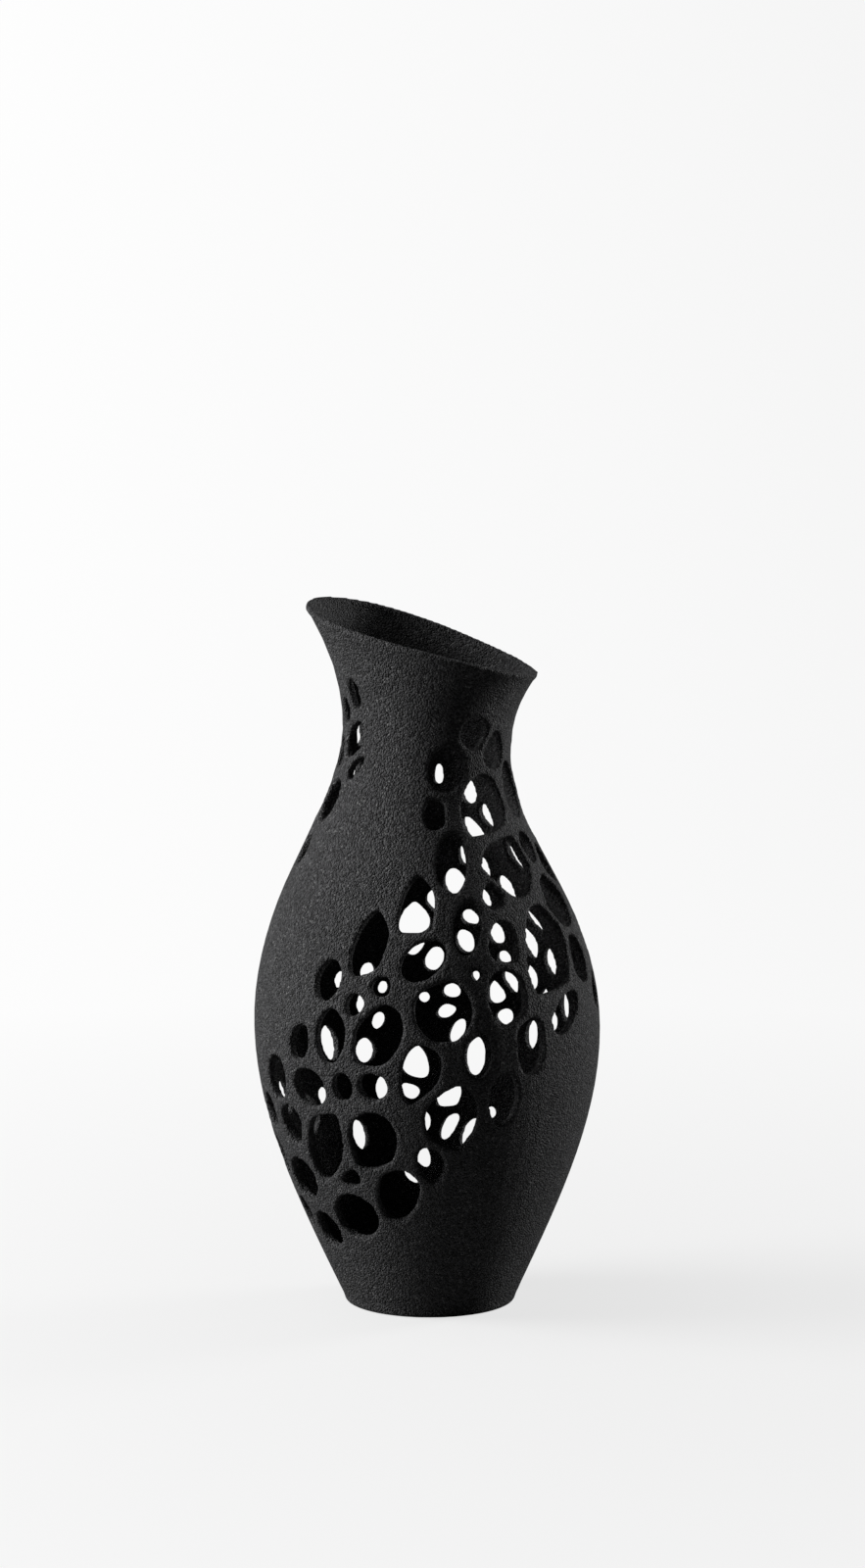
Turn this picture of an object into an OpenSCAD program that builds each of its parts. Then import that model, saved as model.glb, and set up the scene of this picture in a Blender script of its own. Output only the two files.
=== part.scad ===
// Openwork black clay vase with a slanted mouth, in millimetres.
// It is built up in courses, as a hand-built pot is: a floor slab and five
// walls, each seated in a lap on the one below. The openings are cut last,
// through every course that they cross. Heights run along the vase's own
// axis, azimuths run anticlockwise from +X as seen from above.

/* [Foot] */
// Diameter of the foot, before its edge is rounded
foot_d = 71; // [66:1:76]
// Angle at which the wall leaves the foot, from upright, in degrees
foot_flare = 25; // [20:1:30]
// Radius of the foot's lower edge
foot_edge = 3; // [2:0.5:4]
// Thickness of the floor slab
floor_t = 7; // [6:0.5:9]

/* [Belly] */
// Widest diameter
belly_d = 148; // [142:1:156]
// Height of the widest ring
belly_h = 120; // [114:1:126]

/* [Shoulder] */
// Diameter at the steepest part of the shoulder
shoulder_d = 113; // [108:1:118]
// Height from the steepest part of the shoulder up to the narrowest ring
shoulder_drop = 59; // [54:1:64]
// Angle of the shoulder there, from upright, in degrees
shoulder_slope = 27; // [22:1:32]

/* [Neck] */
// Narrowest diameter
neck_d = 72; // [68:1:78]
// Height from the narrowest ring up to the rim
neck_drop = 42; // [38:1:46]
// How far the foot of the neck stands over towards -X
neck_sway = 3.9; // [0:0.1:5]

/* [Mouth] */
// Mean diameter of the rim
mouth_d = 93; // [88:1:98]
// Mean height of the rim
mouth_h = 286; // [280:1:296]
// Angle at which the wall opens at the rim, from upright, in degrees
mouth_flare = 27; // [20:1:34]
// Slant of the rim, in degrees
mouth_slant = 17; // [0:1:22]
// Azimuth of the rim's highest point, in degrees
mouth_dir = 160; // [140:5:180]
// Amount that the rim's long half axis exceeds its mean radius
mouth_oval = 4; // [0:0.5:5]
// Height of the rim's gentle wave
mouth_wave = 1.2; // [0:0.2:2]
// How far the rim's centre stands over towards -X
mouth_sway = 3.4; // [0:0.1:5]

/* [Wall] */
// Thickness of the wall
wall = 4; // [3.5:0.1:4.5]
// Thickness of the lip
lip = 2.2; // [1.8:0.1:3]

/* [Courses] */
// Height at which the belly course starts
belly_seam = 75; // [70:1:80]
// Height at which the shoulder course starts
shoulder_seam = 150; // [145:1:155]
// Height of the neck course
neck_course = 52; // [48:1:56]
// Height of the mouth course, up to the rim
mouth_course = 30; // [26:1:33]
// Height of the lap between two courses
lap = 5; // [4:0.5:6]
// Gap between the two halves of a lap
lap_gap = 0.1; // [0.05:0.05:0.2]

/* [Openwork] */
// Least width of clay left between two openings
strut = 3.2; // [2.8:0.1:4]
// Size of the openings against their drawn size
opening_scale = 1; // [0.9:0.02:1.08]

/* [Hidden] */
clay = "#26262a";

// Height between two rings of the wall's outline
ring_step = 8;
// Number of flats round the wall
flats = 60;
// Number of flats that stand for a circle on the floor slab
turned = 96;
// Half the height over which the wall's slope is measured
probe = 0.5;
// Heights below and above the narrowest ring where the wall stands furthest
// over towards -X, and furthest back
sway_below = 38;
sway_above = 22;
// How fast the slant grows from the neck to the rim
slant_power = 1.5;
// Steps round the lip's half circle
lip_steps = 4;
// Turn between two points of the foot's rounded edge, in degrees
edge_turn = 15;
// Height of the ridge on the floor slab that the lower wall sits round
ridge_h = 4;
// Gap between the ridge and the wall round it
ridge_gap = 0.3;

neck_h = mouth_h - neck_drop;
shoulder_h = neck_h - shoulder_drop;
mouth_seam = mouth_h - mouth_course;
neck_seam = mouth_seam - neck_course;

// Outline of the vase: [height, radius, radius gained per height]
PROFILE = [
    [0, foot_d / 2, tan(foot_flare)],
    [belly_h, belly_d / 2, 0],
    [shoulder_h, shoulder_d / 2, -tan(shoulder_slope)],
    [neck_h, neck_d / 2, 0],
    [mouth_h, mouth_d / 2, tan(mouth_flare)]
];
// Sideways place of the wall's middle: [height, place, gain per height]
SWAY = [
    [0, 0, -0.01],
    [shoulder_seam, -neck_sway / 2, -0.03],
    [neck_h - sway_below, -neck_sway, 0],
    [neck_h + sway_above, 0, 0],
    [mouth_h, -mouth_sway, -0.3]
];

// Each opening: [azimuth, height, width, length, lean of its length to the right]
OPENINGS = [
    // left of the neck
    [212, 263, 7, 13, -15], [198, 255, 8, 12, 0], [210, 242, 11, 22, 30], [218, 233, 6, 16, 35],
    [199, 218, 14, 19, 15], [191, 197, 10, 12, 10], [190, 238, 11, 17, 25], [176, 218, 13, 18, 15],
    // right of the neck
    [304, 247, 14, 14, 20], [285, 233, 16, 19, 20], [278, 215, 9, 15, 0], [322, 239, 12, 18, 0],
    [341, 224, 14, 26, 5], [310, 217, 22, 29, 30], [336, 199, 10, 13, 0], [350, 191, 13, 17, 0],
    [285, 196, 13, 25, 10], [314, 193, 24, 29, 35], [301, 182, 9, 12, 45],
    // front of the shoulder
    [268, 177, 14, 28, 10], [287, 170, 12, 22, 15], [300, 163, 14, 18, 0], [320, 158, 25, 43, 15],
    [339, 153, 15, 22, -10], [339, 176, 19, 23, -25], [276, 137, 24, 25, 0], [270, 158, 14, 22, 50],
    [298, 142, 17, 24, 0], [323, 132, 12, 24, 50], [306, 121, 14, 25, 0], [287, 118, 12, 20, 5],
    [250, 163, 14, 28, 15], [235, 148, 12, 17, 15], [255, 147, 8, 10, 0], [246, 138, 8, 11, 0],
    [288, 151, 5, 6, -30],
    // front of the belly
    [268, 111, 16, 28, 10], [278, 93, 22, 30, 0], [296, 99, 13, 22, 0], [271, 72, 11, 17, -10],
    [258, 58, 17, 25, 15], [254, 126, 19, 28, 30], [237, 125, 14, 23, 5], [224, 121, 11, 16, 25],
    [209, 103, 15, 20, 15], [227, 102, 18, 16, 20], [241, 104, 9, 12, 0], [252, 105, 12, 11, 30],
    // left of the belly
    [250, 81, 21, 26, 15], [230, 77, 18, 33, 20], [214, 84, 15, 18, -15], [197, 86, 13, 16, 0],
    [210, 59, 21, 18, -30], [239, 64, 9, 9, 0], [237, 46, 21, 20, -10], [216, 37, 15, 16, -10],
    [198, 42, 11, 13, 0], [191, 65, 16, 18, 0], [181, 82, 14, 18, 10], [178, 53, 14, 16, 0],
    // back of the neck
    [79, 224, 4, 11, -5], [58, 217, 8, 15, 0], [49, 207, 7, 15, 0], [60, 199, 9, 15, 25],
    [172, 243, 10, 15, 20], [150, 243, 7, 13, 10], [149, 227, 10, 16, 10], [160, 205, 13, 17, 10], [140, 211, 12, 17, 10],
    [127, 222, 11, 16, 0], [110, 227, 11, 16, 0], [96, 214, 12, 18, 0], [95, 236, 10, 14, 0],
    [3, 210, 13, 18, 0], [20, 198, 14, 18, 0], [36, 190, 12, 18, 0], [358, 232, 11, 16, 0],
    // back of the shoulder
    [62, 183, 8, 14, 0], [52, 173, 9, 13, 0], [76, 174, 10, 15, 0], [68, 187, 7, 13, 0],
    [64, 168, 5, 10, 10], [72, 158, 8, 8, 60], [75, 147, 8, 12, 10], [85, 165, 8, 12, 20],
    [94, 155, 14, 20, -10], [96, 188, 14, 20, 0], [111, 173, 14, 20, 0], [126, 194, 13, 18, 0],
    [62, 151, 8, 11, 0], [60, 140, 7, 7, -30], [47, 149, 9, 17, 10], [42, 159, 6, 13, 40],
    [38, 141, 9, 13, 0], [14, 178, 14, 20, 0], [5, 158, 14, 20, 0],
    [14, 145, 10, 14, 0], [352, 137, 12, 16, 20], [87, 138, 8, 12, -20], [94, 144, 8, 10, -45],
    // back of the belly
    [49, 130, 8, 15, 0], [58, 130, 8, 13, 10], [64, 123, 9, 12, 0], [61, 113, 9, 8, 0],
    [32, 121, 8, 14, 0], [39, 114, 8, 12, -20], [44, 124, 6, 10, -30], [49, 106, 7, 13, 0],
    [81, 123, 8, 7, 0], [83, 114, 6, 9, -60], [79, 105, 6, 12, -25], [91, 120, 5, 5, -40],
    [71, 130, 5, 7, 60], [72, 94, 9, 17, 0], [95, 90, 12, 19, 15], [97, 79, 8, 9, 40],
    [108, 80, 7, 11, -10], [82, 77, 11, 13, -20], [81, 64, 6, 15, -25], [72, 61, 7, 13, -20],
    [92, 65, 6, 9, 0], [93, 50, 7, 12, 15], [98, 43, 6, 9, 40], [121, 61, 7, 13, 0],
    [112, 133, 7, 8, 0], [106, 125, 5, 6, 0], [108, 110, 6, 8, -25], [114, 97, 9, 11, -10],
    [123, 130, 6, 8, 0], [114, 118, 6, 9, 0], [129, 102, 8, 16, 10],
    [135, 79, 8, 9, -40], [64, 70, 5, 6, 60], [147, 74, 14, 18, 0],
    [141, 120, 12, 16, 0], [161, 84, 12, 16, 0], [166, 66, 12, 14, 0]
];
// Height of the rim on the vase that the openings are laid out for
layout_h = 286;
// Corners of an opening before the struts trim it
corners = 8;
// Points that round each corner
corner_steps = 3;
// Shortest side that an opening keeps before its corners are rounded
least_side = 1;
// How far an opening's cutter reaches inwards and outwards from the skin
cut_in = 14;
cut_out = 7;

layout = mouth_h / layout_h;

function hermite(a, b, s) =
    let (span = b[0] - a[0], t = (s - a[0]) / span)
    (2 * t^3 - 3 * t^2 + 1) * a[1] + (t^3 - 2 * t^2 + t) * span * a[2]
    + (3 * t^2 - 2 * t^3) * b[1] + (t^3 - t^2) * span * b[2];

// A smooth line through stations, carried on straight past both ends
function along(stations, s) =
    let (first = stations[0], last = stations[len(stations) - 1])
    s <= first[0] ? first[1] + first[2] * (s - first[0])
    : s >= last[0] ? last[1] + last[2] * (s - last[0])
    : let (k = [for (i = [0:len(stations) - 2]) if (s < stations[i + 1][0]) i][0])
      hermite(stations[k], stations[k + 1], s);

function outer_r(s) = along(PROFILE, s);
function slope(s) = (outer_r(s + probe) - outer_r(s - probe)) / (2 * probe);
function grow(s) = min(1, max(0, (s - neck_h) / (mouth_h - neck_h)));
// Thickness of the wall measured level, so that it is true across the wall
function thick(s) = (wall + (lip - wall) * grow(s)) * sqrt(1 + slope(s)^2);
function inner_r(s) = outer_r(s) - thick(s);
function mid_r(s) = outer_r(s) - thick(s) / 2;
function drift(s) = along(SWAY, s);
function climb(lo, hi) =
    let (n = max(1, ceil(abs(hi - lo) / ring_step)))
    [for (i = [0:n]) lo + (hi - lo) * i / n];

// A lap's tongue stands outside where the wall flares, and inside where it
// closes, so that the next course drops onto it.
function flares(seam) = slope(seam) > 0;
function out_end(seam) = flares(seam) ? seam + lap : seam;
function in_end(seam) = flares(seam) ? seam : seam + lap;
function lap_side(seam) = flares(seam) ? lap_gap / 2 : -lap_gap / 2;
function top_lap(seam) =
    [for (s = [out_end(seam), in_end(seam)]) [mid_r(s) + lap_side(seam), s]];
function foot_lap(seam) =
    [for (s = [in_end(seam), out_end(seam)]) [mid_r(s) - lap_side(seam), s]];
// The lip: a half circle from the outer skin round to the inner skin
function lip_edge(s) =
    [for (i = [1:lip_steps - 1])
        let (a = i * 180 / lip_steps)
        [outer_r(s) - thick(s) * (1 - cos(a)) / 2, s + lip / 2 * sin(a)]];

// Section of a course as [radius, height]: outer skin, top, inner skin, foot
function course(foot_out, foot_in, foot, top_out, top_in, top) = concat(
    [for (s = climb(foot_out, top_out)) [outer_r(s), s]], top,
    [for (s = climb(top_in, foot_in)) [inner_r(s), s]], foot
);
function between_seams(lo, hi) =
    course(out_end(lo), in_end(lo), foot_lap(lo), out_end(hi), in_end(hi), top_lap(hi));

// Where a point of the section lies once the neck drifts and the mouth slants
function place(a, r, s) =
    let (w = grow(s)^slant_power, u = a - mouth_dir)
    let (rr = r + w * mouth_oval * cos(2 * u))
    [drift(s) + rr * cos(a), rr * sin(a),
     s + w * (tan(mouth_slant) * rr * cos(u) - mouth_wave * sin(2 * u))];

module wall_ring(section) {
    n = len(section);
    polyhedron(
        points = [for (p = section) for (k = [0:flats - 1]) place(k * 360 / flats, p[0], p[1])],
        faces = [
            for (i = [0:n - 1]) for (k = [0:flats - 1])
                let (a = i * flats + k, d = i * flats + (k + 1) % flats)
                let (b = (i + 1) % n * flats + k, c = (i + 1) % n * flats + (k + 1) % flats)
                each [[a, b, c], [a, c, d]]
        ]
    );
}

// Openings: each starts as an oval and is trimmed by the struts to its neighbours
function turn_to(a, b) = (b - a + 540) % 360 - 180;
function seat(i) = OPENINGS[i][1] * layout;
function size(i) = (OPENINGS[i][2] + OPENINGS[i][3]) / 4 * layout * opening_scale;
function oval(i) =
    let (o = OPENINGS[i], k = layout * opening_scale / 2 / cos(180 / corners))
    [for (j = [0:corners - 1])
        let (a = (j + 0.5) * 360 / corners, x = o[2] * k * cos(a), y = o[3] * k * sin(a))
        [x * cos(o[4]) + y * sin(o[4]), y * cos(o[4]) - x * sin(o[4])]];
function offset_to(i, j) =
    let (r = (outer_r(seat(i)) + outer_r(seat(j))) / 2)
    [r * turn_to(OPENINGS[i][0], OPENINGS[j][0]) * PI / 180, seat(j) - seat(i)];
function clip(shape, dir, limit) =
    [for (k = [0:len(shape) - 1])
        let (p = shape[k], q = shape[(k + 1) % len(shape)])
        let (dp = p * dir - limit, dq = q * dir - limit, cross_at = p + (q - p) * dp / (dp - dq))
        each dp <= 0 ? (dq <= 0 ? [q] : [cross_at]) : (dq <= 0 ? [cross_at, q] : [])];
function trim(shape, i, j = 0) =
    j == len(OPENINGS) ? shape
    : let (d = offset_to(i, j), far = norm(d))
      i == j || far > 3 * (size(i) + size(j)) ? trim(shape, i, j + 1)
      : trim(clip(shape, d / far, far * size(i) / (size(i) + size(j)) - strut / 2), i, j + 1);
function thin(shape) =
    [for (k = [0:len(shape) - 1])
        if (norm(shape[k] - shape[(k + 1) % len(shape)]) > least_side) shape[k]];
function soften(shape) =
    [for (k = [0:len(shape) - 1])
        let (v = shape[k], m = (shape[(k + len(shape) - 1) % len(shape)] + v) / 2)
        let (n = (shape[(k + 1) % len(shape)] + v) / 2)
        for (i = [0:corner_steps - 1])
            let (t = i / corner_steps) (1 - t)^2 * m + 2 * t * (1 - t) * v + t^2 * n];
// The outline flattened onto the plane that touches the skin at its middle
function flatten(shape, i) =
    let (s0 = seat(i), r0 = outer_r(s0), tilt = -atan(slope(s0)))
    [for (p = shape)
        let (s = s0 + p[1], a = p[0] / r0 * 180 / PI, r = outer_r(s))
        [r * sin(a), (s - s0) * cos(tilt) - (r * cos(a) - r0) * sin(tilt)]];

module opening(i) {
    s0 = seat(i);
    outline = flatten(soften(thin(trim(oval(i), i))), i);
    translate([drift(s0), 0, s0])
        rotate([0, 0, OPENINGS[i][0]])
        translate([outer_r(s0), 0, 0])
        rotate([0, atan(slope(s0)), 0])
        rotate([90, 0, 90])
        translate([0, 0, -cut_in])
        linear_extrude(height = cut_in + cut_out) polygon(outline);
}

module openings(lo, hi) {
    for (i = [0:len(OPENINGS) - 1]) {
        reach = max(OPENINGS[i][2], OPENINGS[i][3]) * layout / 2 + 2 * strut;
        if (seat(i) + reach > lo && seat(i) - reach < hi + lap) opening(i);
    }
}

module floor_slab() {
    ridge_r = inner_r(floor_t) - ridge_gap;
    edge_r = outer_r(foot_edge) - foot_edge;
    color(clay) rotate_extrude($fn = turned) polygon([
        [0, 0],
        for (a = [-90:edge_turn:0]) [edge_r + foot_edge * cos(a), foot_edge * (1 + sin(a))],
        [outer_r(floor_t), floor_t],
        [ridge_r, floor_t],
        [ridge_r, floor_t + ridge_h],
        [0, floor_t + ridge_h]
    ]);
}

module lower_wall() {
    color(clay) difference() {
        wall_ring(course(
            floor_t, floor_t, [], out_end(belly_seam), in_end(belly_seam), top_lap(belly_seam)
        ));
        openings(floor_t, belly_seam);
    }
}

module belly_wall() {
    color(clay) difference() {
        wall_ring(between_seams(belly_seam, shoulder_seam));
        openings(belly_seam, shoulder_seam);
    }
}

module shoulder_wall() {
    color(clay) difference() {
        wall_ring(between_seams(shoulder_seam, neck_seam));
        openings(shoulder_seam, neck_seam);
    }
}

module neck_wall() {
    color(clay) difference() {
        wall_ring(between_seams(neck_seam, mouth_seam));
        openings(neck_seam, mouth_seam);
    }
}

module mouth_wall() {
    top = mouth_h - lip / 2;
    color(clay) difference() {
        wall_ring(course(
            out_end(mouth_seam), in_end(mouth_seam), foot_lap(mouth_seam), top, top, lip_edge(top)
        ));
        openings(mouth_seam, mouth_h);
    }
}

floor_slab();
lower_wall();
belly_wall();
shoulder_wall();
neck_wall();
mouth_wall();
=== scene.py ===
"""Openwork black clay vase with a slanted mouth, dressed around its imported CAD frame.

The courses of the CAD model are fused into one clay body, their edges are rounded as
a wet sponge rounds them, and the body is cut apart again at the seams, so that each
course keeps a piece of its own.
"""

import math

import bmesh
import bpy
from mathutils import Matrix, Vector


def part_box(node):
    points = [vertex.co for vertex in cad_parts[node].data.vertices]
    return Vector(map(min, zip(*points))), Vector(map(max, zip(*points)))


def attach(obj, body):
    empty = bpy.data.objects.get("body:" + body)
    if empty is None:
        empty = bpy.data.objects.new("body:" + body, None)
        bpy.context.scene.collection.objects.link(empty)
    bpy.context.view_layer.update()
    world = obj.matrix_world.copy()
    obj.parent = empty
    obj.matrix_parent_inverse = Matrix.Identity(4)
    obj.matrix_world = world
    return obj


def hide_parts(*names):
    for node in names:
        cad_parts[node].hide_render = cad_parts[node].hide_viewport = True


bl_info = {
    "name": "Openwork Clay Vase",
    "version": (1, 0, 0),
    "blender": (4, 5, 0),
    "location": "3D View > Sidebar > Clay Vase",
    "description": "Builds the clay courses of an openwork vase and its studio",
    "category": "Add Mesh",
}

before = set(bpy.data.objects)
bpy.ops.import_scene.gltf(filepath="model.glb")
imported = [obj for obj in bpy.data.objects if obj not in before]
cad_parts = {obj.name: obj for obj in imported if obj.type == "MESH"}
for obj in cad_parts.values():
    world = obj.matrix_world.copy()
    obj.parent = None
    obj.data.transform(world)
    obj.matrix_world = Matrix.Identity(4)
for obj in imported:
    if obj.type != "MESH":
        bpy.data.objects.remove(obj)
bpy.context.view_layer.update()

MM = 0.001
BODY = "root"
MOUTH = "mouth_wall"
UP = Vector((0, 0, 1))

# Course pieces from the foot up: piece name and the CAD node that it stands for
COURSES = (
    ("clay_floor", "floor_slab"),
    ("clay_lower_wall", "lower_wall"),
    ("clay_belly_wall", "belly_wall"),
    ("clay_shoulder_wall", "shoulder_wall"),
    ("clay_neck_wall", "neck_wall"),
    ("clay_mouth_wall", MOUTH),
)

# How far two points of the CAD courses may lie apart and still be one
WELD = 0.001 * MM
# How near to a seam a point has to lie to be moved onto it
ON_SEAM = 0.0001 * MM
# Shares of a smoothing pass, and of the pass that swells the clay back after it, so
# that edges get round and struts stay as thick as they are
ROUND_STEP = 0.6
SWELL_STEP = -0.625
# Places round the mouth, and sides, of the bead that thickens the lip
LIP_PLACES = 60
LIP_SIDES = 10
# Depth of the bead's middle below the mouth's crest, in bead radii
LIP_DEPTH = 0.7
# Name of the layer that carries the whole body's normals through the cuts
SKIN = "skin_normal"

# Half width of the studio floor, its reach in front of the vase, and its length
FLOOR_SIDE = 6
FLOOR_FRONT = 6
FLOOR_LENGTH = 7
# Radius and steps of the curve from the floor into the backdrop, and the height above
SWEEP_RADIUS = 1.2
SWEEP_STEPS = 16
SWEEP_HEIGHT = 2.5
# Colour of the air that lights the vase, and of the air that the camera sees
AIR = (0.012, 0.012, 0.013, 1)
SEEN_AIR = (0.95, 0.955, 0.955, 1)
# The lamps: name, place, width and power
LAMPS = (
    ("key_lamp", (-1.6, -0.05, 0.72), 0.9, 34),
    ("rim_lamp", (1.4, 0.7, 0.5), 0.5, 15),
    ("top_lamp", (-0.7, 0.0, 1.6), 0.9, 5),
)
# Point on the vase that the lamps face
LAMP_AIM = Vector((0, 0, 0.16))


class ClayVaseBody(bpy.types.PropertyGroup):
    """Sizes of the fused clay body"""

    voxel: bpy.props.FloatProperty(
        name="Mesh Size", description="Edge length of the fused clay mesh",
        default=0.95 * MM, min=0.5 * MM, max=3 * MM, unit="LENGTH", precision=5,
    )
    bead: bpy.props.FloatProperty(
        name="Lip Bead", description="Radius of the round bead along the mouth's edge",
        default=1.5 * MM, min=0.5 * MM, max=4 * MM, unit="LENGTH", precision=5,
    )
    rounding: bpy.props.IntProperty(
        name="Rounding", description="Pairs of smoothing passes over every edge and strut",
        default=60, min=0, max=120,
    )


class ClayVaseFinish(bpy.types.PropertyGroup):
    """Colours and grain of the clay"""

    clay: bpy.props.FloatVectorProperty(
        name="Clay", description="Colour of the fired black clay",
        default=(0.045, 0.045, 0.0465), min=0, max=1, size=3, subtype="COLOR",
    )
    speck: bpy.props.FloatVectorProperty(
        name="Specks", description="Colour of the bright grains in the sand",
        default=(0.16, 0.16, 0.16), min=0, max=1, size=3, subtype="COLOR",
    )
    grain: bpy.props.FloatProperty(
        name="Grain", description="Width of a sand grain on the skin",
        default=0.8 * MM, min=0.1 * MM, max=3 * MM, unit="LENGTH", precision=5,
    )
    relief: bpy.props.FloatProperty(
        name="Relief", description="Height of the sand grains on the skin",
        default=0.9 * MM, min=0, max=3 * MM, unit="LENGTH", precision=5,
    )
    roughness: bpy.props.FloatProperty(
        name="Roughness", description="Roughness of the unglazed skin",
        default=0.72, min=0, max=1, subtype="FACTOR",
    )


class ClayVaseStage(bpy.types.PropertyGroup):
    """Floor and camera"""

    floor: bpy.props.FloatVectorProperty(
        name="Floor", description="Colour in which the floor and backdrop light the vase",
        default=(0.2, 0.2, 0.2), min=0, max=1, size=3, subtype="COLOR",
    )
    seen_floor: bpy.props.FloatVectorProperty(
        name="Seen Floor", description="Colour in which the camera sees the floor and backdrop",
        default=(0.8, 0.8, 0.8), min=0, max=1, size=3, subtype="COLOR",
    )
    distance: bpy.props.FloatProperty(
        name="Distance", description="Distance from the camera to the vase's axis",
        default=1.6575, min=0.5, max=5, unit="LENGTH",
    )
    aside: bpy.props.FloatProperty(
        name="Aside", description="How far the camera stands to the right of the axis",
        default=1.08 * MM, unit="LENGTH", precision=5,
    )
    height: bpy.props.FloatProperty(
        name="Height", description="Height of the camera above the floor",
        default=0.3979, min=0, max=2, unit="LENGTH",
    )
    tilt: bpy.props.FloatProperty(
        name="Tilt", description="How far the camera looks down",
        default=math.radians(6.02), subtype="ANGLE",
    )
    lens: bpy.props.FloatProperty(
        name="Lens", description="Focal length", default=90, unit="CAMERA",
    )
    sensor: bpy.props.FloatProperty(
        name="Sensor", description="Height of the camera's sensor", default=36, unit="CAMERA",
    )


def new_object(name, data):
    """An object at the origin that holds a mesh, a lamp or a camera"""
    piece = bpy.data.objects.new(name, data)
    bpy.context.scene.collection.objects.link(piece)
    return piece


def new_mesh(name, bm):
    """A mesh with what bm holds, which is freed"""
    mesh = bpy.data.meshes.new(name)
    bm.to_mesh(mesh)
    bm.free()
    return mesh


def empty_tree(owner):
    """The node tree of a material or a world, with nothing in it"""
    owner.use_nodes = True
    owner.node_tree.nodes.clear()
    return owner.node_tree


def node(tree, kind, inputs=None, **settings):
    """A node with its settings, each input given a value or the output that feeds it"""
    made = tree.nodes.new(kind)
    for key, value in settings.items():
        setattr(made, key, value)
    for key, value in (inputs or {}).items():
        if isinstance(value, bpy.types.NodeSocket):
            tree.links.new(value, made.inputs[key])
        else:
            made.inputs[key].default_value = value
    return made


def spread(tree, value, source, target):
    """An output that maps value from the range source onto the range target"""
    made = node(tree, "ShaderNodeMapRange", {
        "Value": value,
        "From Min": source[0], "From Max": source[1],
        "To Min": target[0], "To Max": target[1],
    })
    return made.outputs["Result"]


def sand_group():
    """Node group: sand grains as a height, a shade and rare bright specks"""
    group = bpy.data.node_groups.new("Sand Grain", "ShaderNodeTree")
    group.interface.new_socket(name="Vector", in_out="INPUT", socket_type="NodeSocketVector")
    for name, in_out in (
        ("Grains per Metre", "INPUT"), ("Height", "OUTPUT"), ("Shade", "OUTPUT"), ("Speck", "OUTPUT"),
    ):
        group.interface.new_socket(name=name, in_out=in_out, socket_type="NodeSocketFloat")
    start = node(group, "NodeGroupInput")
    place = start.outputs["Vector"]
    count = start.outputs["Grains per Metre"]
    grains = node(group, "ShaderNodeTexVoronoi", {"Vector": place, "Scale": count}, feature="F1")
    clump_count = node(group, "ShaderNodeMath", {0: count, 1: 0.45}, operation="MULTIPLY")
    clumps = node(group, "ShaderNodeTexNoise", {
        "Vector": place, "Scale": clump_count.outputs[0], "Detail": 3, "Roughness": 0.6,
    })
    dome = spread(group, grains.outputs["Distance"], (0, 0.75), (1, 0))
    height = node(
        group, "ShaderNodeMath", {0: clumps.outputs["Fac"], 1: 1.1, 2: dome}, operation="MULTIPLY_ADD",
    )
    chance = node(group, "ShaderNodeSeparateColor", {"Color": grains.outputs["Color"]})
    shade = spread(group, chance.outputs["Red"], (0, 1), (0.3, 1.9))
    speck = node(
        group, "ShaderNodeMath", {0: chance.outputs["Green"], 1: 0.965}, operation="GREATER_THAN",
    )
    node(group, "NodeGroupOutput", {"Height": height.outputs[0], "Shade": shade, "Speck": speck.outputs[0]})
    return group


def clay_material(settings):
    """Matte black clay with a fine sandy skin"""
    material = bpy.data.materials.new("black clay")
    tree = empty_tree(material)
    place = node(tree, "ShaderNodeTexCoord").outputs["Object"]
    sand = node(
        tree, "ShaderNodeGroup", {"Vector": place, "Grains per Metre": 1 / settings.grain},
        node_tree=sand_group(),
    )
    smoke = node(tree, "ShaderNodeTexNoise", {"Vector": place, "Scale": 28, "Detail": 4})
    smoke_shade = spread(tree, smoke.outputs["Fac"], (0.3, 0.7), (0.88, 1.12))
    shade = node(
        tree, "ShaderNodeMath", {0: sand.outputs["Shade"], 1: smoke_shade}, operation="MULTIPLY",
    )
    tint = node(
        tree, "ShaderNodeVectorMath", {0: tuple(settings.clay), "Scale": shade.outputs[0]},
        operation="SCALE",
    )
    colour = node(
        tree, "ShaderNodeMix",
        {0: sand.outputs["Speck"], 6: tint.outputs[0], 7: (*settings.speck, 1)}, data_type="RGBA",
    )
    bump = node(tree, "ShaderNodeBump", {
        "Height": sand.outputs["Height"], "Strength": 1, "Distance": settings.relief,
    })
    clay = node(tree, "ShaderNodeBsdfPrincipled", {
        "Base Color": colour.outputs[2], "Normal": bump.outputs[0],
        "Roughness": settings.roughness, "Specular IOR Level": 0.35,
    })
    node(tree, "ShaderNodeOutputMaterial", {"Surface": clay.outputs[0]})
    return material


def mouth_crest():
    """The highest points round the mouth's edge, in order, and their centre"""
    centre = Vector()
    # The first pass finds the mouth's centre, and the second its crest round that centre
    for _ in range(2):
        crest = {}
        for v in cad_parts[MOUTH].data.vertices:
            arm = v.co - centre
            turn = round(math.atan2(arm.y, arm.x) / math.tau * LIP_PLACES) % LIP_PLACES
            if turn not in crest or v.co.z > crest[turn].z:
                crest[turn] = v.co.copy()
        centre = sum(crest.values(), Vector()) / len(crest)
    return [crest[turn] for turn in sorted(crest)], centre


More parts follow.
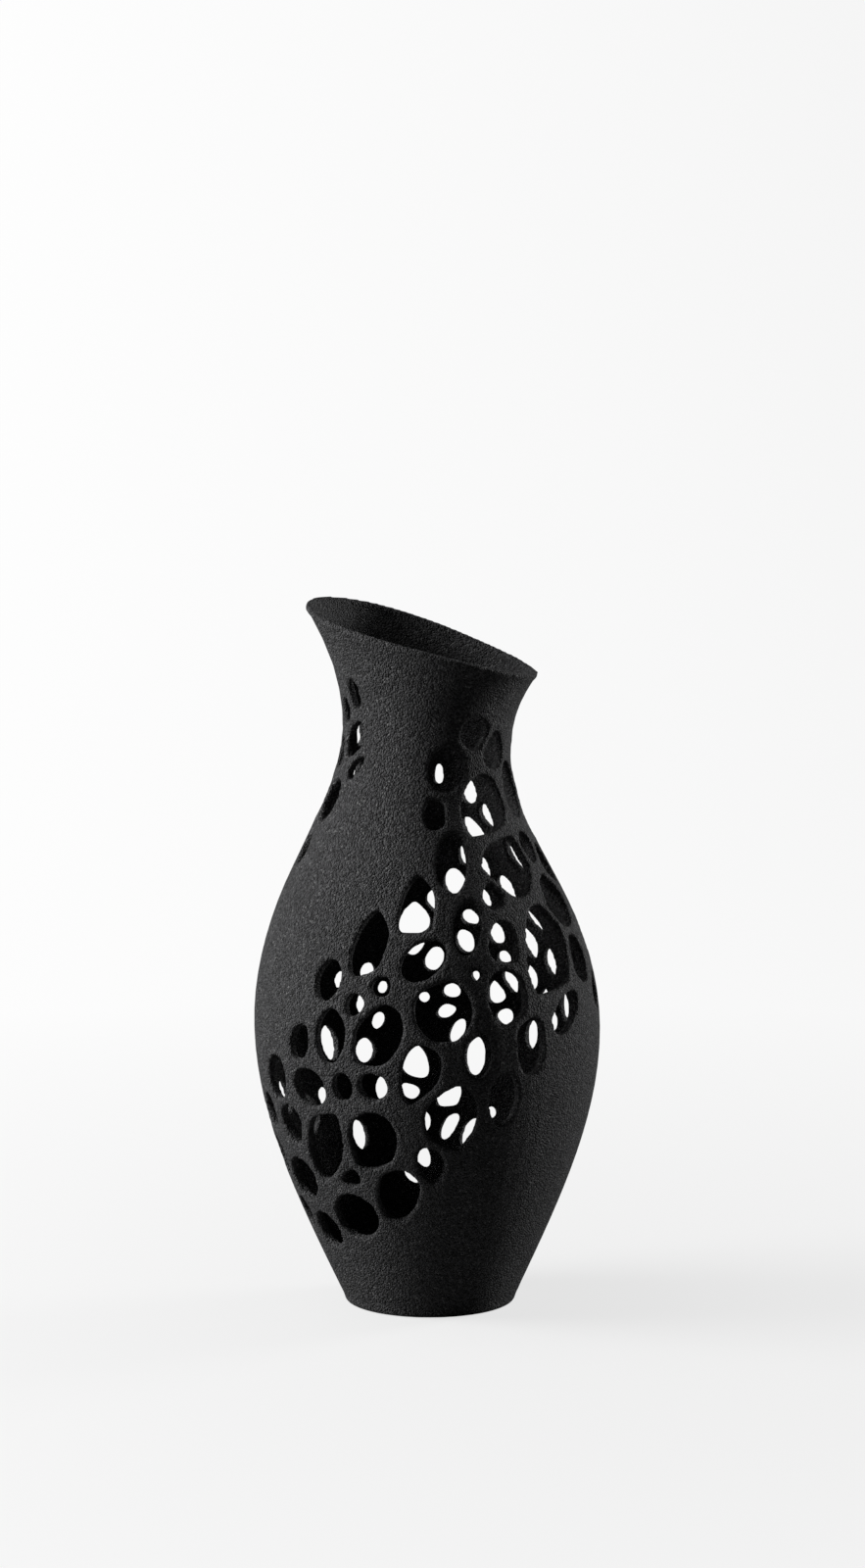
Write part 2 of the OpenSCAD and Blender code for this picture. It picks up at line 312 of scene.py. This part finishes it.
def lip_bead(radius):
    """A closed round bead along the mouth's edge, to be fused with the wall"""
    crest, centre = mouth_crest()
    bm = bmesh.new()
    rings = []
    for point in crest:
        out = (point - centre).to_2d().to_3d().normalized()
        turned = Matrix((-UP, out, out.cross(UP))).transposed().to_4x4()
        ring = bmesh.ops.create_circle(
            bm, segments=LIP_SIDES, radius=radius,
            matrix=Matrix.Translation(point - LIP_DEPTH * radius * UP) @ turned,
        )
        rings.append(list({e for v in ring["verts"] for e in v.link_edges}))
    for ring, other in zip(rings, rings[1:] + rings[:1]):
        bmesh.ops.bridge_loops(bm, edges=ring + other)
    bmesh.ops.recalc_face_normals(bm, faces=bm.faces)
    return new_mesh("lip bead", bm)


def fused_clay(settings):
    """One closed mesh of all the courses and the lip, with its edges rounded"""
    bm = bmesh.new()
    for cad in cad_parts.values():
        bm.from_mesh(cad.data)
    bmesh.ops.remove_doubles(bm, verts=bm.verts, dist=WELD)
    bm.from_mesh(lip_bead(settings.bead))
    mesh = new_mesh("fused clay", bm)
    mesh.materials.clear()
    body = new_object("fused_clay", mesh)
    fuse = body.modifiers.new("fuse", "REMESH")
    fuse.mode = "VOXEL"
    fuse.voxel_size = settings.voxel
    for _ in range(settings.rounding):
        for name, factor in (("round", ROUND_STEP), ("swell", SWELL_STEP)):
            smooth = body.modifiers.new(name, "SMOOTH")
            smooth.factor = factor
            smooth.iterations = 1
    bpy.context.view_layer.update()
    shaped = body.evaluated_get(bpy.context.evaluated_depsgraph_get())
    result = bpy.data.meshes.new_from_object(shaped)
    bpy.data.objects.remove(body)
    return result


def scored_clay(mesh, seams):
    """A copy of mesh with an edge line along each seam, which keeps the skin's normals"""
    bm = bmesh.new()
    bm.from_mesh(mesh)
    skin = bm.verts.layers.float_vector.new(SKIN)
    for z in seams:
        bmesh.ops.bisect_plane(
            bm, geom=bm.verts[:] + bm.edges[:] + bm.faces[:],
            plane_co=(0, 0, z), plane_no=UP, dist=ON_SEAM,
        )
    bm.normal_update()
    for v in bm.verts:
        v[skin] = v.normal
    return new_mesh("scored clay", bm)


def course_mesh(name, scored, low, high, reach):
    """The part of the scored clay between two seams, closed with flat cut faces"""
    bm = bmesh.new()
    bm.from_mesh(scored)
    skin = bm.verts.layers.float_vector[SKIN]
    outside = [f for f in bm.faces if not low < f.calc_center_median().z < high]
    bmesh.ops.delete(bm, geom=outside, context="FACES")
    cuts = set()
    # Each cut is filled by itself, or the fill would join the lower cut to the upper
    for z in (low, high):
        rim = [e for e in bm.edges if e.is_boundary and abs(e.verts[0].co.z - z) < reach]
        if rim:
            filled = bmesh.ops.triangle_fill(bm, edges=rim, use_beauty=True)
            cuts |= {f for f in filled["geom"] if isinstance(f, bmesh.types.BMFace)}
    normals = []
    for f in bm.faces:
        f.smooth = f not in cuts
        for loop in f.loops:
            normals.append(loop.vert[skin].copy() if f.smooth else f.normal.copy())
    course = new_mesh(name, bm)
    course.normals_split_custom_set(normals)
    course.attributes.remove(course.attributes[SKIN])
    return course


def clay_courses(settings):
    """The pieces of the fused clay from the foot up, cut apart halfway up each lap"""
    nodes = [cad_node for _, cad_node in COURSES]
    seams = [0.5 * (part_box(below)[1].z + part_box(above)[0].z)
             for below, above in zip(nodes, nodes[1:])]
    scored = scored_clay(fused_clay(settings), seams)
    limits = [-math.inf, *seams, math.inf]
    return [new_object(name, course_mesh(name, scored, low, high, 2 * settings.voxel))
            for (name, _), low, high in zip(COURSES, limits, limits[1:])]


def pull(bm, edges, way):
    """Extrudes edges by the vector way, and gives the new edges"""
    moved = bmesh.ops.extrude_edge_only(bm, edges=edges)["geom"]
    bmesh.ops.translate(bm, verts=[g for g in moved if isinstance(g, bmesh.types.BMVert)], vec=way)
    return [g for g in moved if isinstance(g, bmesh.types.BMEdge)]


def studio_sweep():
    """Floor that curves up into a backdrop"""
    bm = bmesh.new()
    front = [bm.verts.new((x, -FLOOR_FRONT, 0)) for x in (-FLOOR_SIDE, FLOOR_SIDE)]
    edges = pull(bm, [bm.edges.new(front)], (0, FLOOR_LENGTH, 0))
    curved = bmesh.ops.spin(
        bm, geom=edges, cent=(0, FLOOR_LENGTH - FLOOR_FRONT, SWEEP_RADIUS), axis=(1, 0, 0),
        angle=math.pi / 2, steps=SWEEP_STEPS,
    )
    pull(bm, [g for g in curved["geom_last"] if isinstance(g, bmesh.types.BMEdge)], (0, 0, SWEEP_HEIGHT))
    bmesh.ops.remove_doubles(bm, verts=bm.verts, dist=WELD)
    for f in bm.faces:
        f.smooth = True
    return new_mesh("studio sweep", bm)


def studio_paper(settings):
    """Paper that the camera sees nearly white, with painted shade that makes it a little darker near the
    vase and to the right, the side away from the key lamp
    """
    material = bpy.data.materials.new("studio paper")
    tree = empty_tree(material)
    seen = node(tree, "ShaderNodeLightPath").outputs["Is Camera Ray"]
    place = node(tree, "ShaderNodeTexCoord").outputs["Object"]
    tint = node(
        tree, "ShaderNodeMix", {0: seen, 6: (*settings.floor, 1), 7: (*settings.seen_floor, 1)},
        data_type="RGBA",
    )
    matte = node(tree, "ShaderNodeBsdfDiffuse", {"Color": tint.outputs[2]})
    across = node(tree, "ShaderNodeSeparateXYZ", {0: place}).outputs["X"]
    # Glow that the camera sees, with painted shade that darkens it towards the right, the side away from
    # the key lamp
    white = node(tree, "ShaderNodeEmission", {"Color": spread(tree, across, (-0.4, 0.4), (1, 0.93))})
    away = node(tree, "ShaderNodeVectorMath", {0: place}, operation="LENGTH").outputs["Value"]
    # The glow's share drops near the vase, so the floor there turns darker: painted shade, with the lamps'
    # real shadow showing through the matte share
    share = node(
        tree, "ShaderNodeMath", {0: seen, 1: spread(tree, away, (0.05, 0.8), (0.76, 0.98))},
        operation="MULTIPLY",
    )
    mix = node(tree, "ShaderNodeMixShader", {0: share.outputs[0], 1: matte.outputs[0], 2: white.outputs[0]})
    node(tree, "ShaderNodeOutputMaterial", {"Surface": mix.outputs[0]})
    return material


def studio_air():
    """Dim air that looks white to the camera"""
    world = bpy.data.worlds.new("studio air")
    tree = empty_tree(world)
    air = node(tree, "ShaderNodeBackground", {"Color": AIR})
    seen_air = node(tree, "ShaderNodeBackground", {"Color": SEEN_AIR})
    seen = node(tree, "ShaderNodeLightPath").outputs["Is Camera Ray"]
    mix = node(tree, "ShaderNodeMixShader", {0: seen, 1: air.outputs[0], 2: seen_air.outputs[0]})
    node(tree, "ShaderNodeOutputWorld", {"Surface": mix.outputs[0]})
    return world


def studio_lamp(name, place, width, power):
    """A square soft lamp that faces the vase"""
    lamp = bpy.data.lights.new(name, "AREA")
    lamp.shape = "SQUARE"
    lamp.size = width
    lamp.energy = power
    holder = new_object(name, lamp)
    holder.location = place
    holder.rotation_euler = (LAMP_AIM - holder.location).to_track_quat("-Z", "Y").to_euler()


def studio_camera(settings):
    """Camera in front of the vase, a little above its mouth"""
    eye = bpy.data.cameras.new("camera")
    eye.sensor_fit = "VERTICAL"
    eye.sensor_height = settings.sensor
    eye.lens = settings.lens
    eye.clip_end = 50
    camera = new_object("camera", eye)
    camera.location = (settings.aside, -settings.distance, settings.height)
    camera.rotation_euler = (math.pi / 2 - settings.tilt, 0, 0)
    return camera


class CLAYVASE_OT_courses(bpy.types.Operator):
    """Fuse the CAD courses, round the clay's edges and cut it apart at the seams"""

    bl_idname = "clayvase.courses"
    bl_label = "Clay Courses"

    def execute(self, context):
        clay = clay_material(context.scene.clay_vase_finish)
        for (_, cad_node), piece in zip(COURSES, clay_courses(context.scene.clay_vase_body)):
            piece.data.materials.append(clay)
            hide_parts(cad_node)
            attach(piece, BODY)
        return {"FINISHED"}


class CLAYVASE_OT_stage(bpy.types.Operator):
    """Lay the floor and its backdrop, and set the lamps and the camera"""

    bl_idname = "clayvase.stage"
    bl_label = "Studio"

    def execute(self, context):
        settings = context.scene.clay_vase_stage
        sweep = new_object("studio_sweep", studio_sweep())
        sweep.data.materials.append(studio_paper(settings))
        context.scene.world = studio_air()
        for lamp in LAMPS:
            studio_lamp(*lamp)
        context.scene.camera = studio_camera(settings)
        context.scene.view_settings.view_transform = "Standard"
        return {"FINISHED"}


class CLAYVASE_PT_panel(bpy.types.Panel):
    """Lists the vase's settings and its operators"""

    bl_idname = "CLAYVASE_PT_panel"
    bl_label = "Clay Vase"
    bl_space_type = "VIEW_3D"
    bl_region_type = "UI"
    bl_category = "Clay Vase"

    def draw(self, context):
        column = self.layout.column()
        for groups, operator in (
            (("clay_vase_body", "clay_vase_finish"), "clayvase.courses"),
            (("clay_vase_stage",), "clayvase.stage"),
        ):
            for group in groups:
                settings = getattr(context.scene, group)
                for key in settings.__annotations__:
                    column.prop(settings, key)
            column.operator(operator)


CLASSES = (
    ClayVaseBody, ClayVaseFinish, ClayVaseStage,
    CLAYVASE_OT_courses, CLAYVASE_OT_stage, CLAYVASE_PT_panel,
)


def register():
    for cls in CLASSES:
        bpy.utils.register_class(cls)
    bpy.types.Scene.clay_vase_body = bpy.props.PointerProperty(type=ClayVaseBody)
    bpy.types.Scene.clay_vase_finish = bpy.props.PointerProperty(type=ClayVaseFinish)
    bpy.types.Scene.clay_vase_stage = bpy.props.PointerProperty(type=ClayVaseStage)


def unregister():
    del bpy.types.Scene.clay_vase_stage
    del bpy.types.Scene.clay_vase_finish
    del bpy.types.Scene.clay_vase_body
    for cls in reversed(CLASSES):
        bpy.utils.unregister_class(cls)


def main():
    register()
    bpy.ops.clayvase.stage()
    bpy.ops.clayvase.courses()


if __name__ == "__main__":
    main()
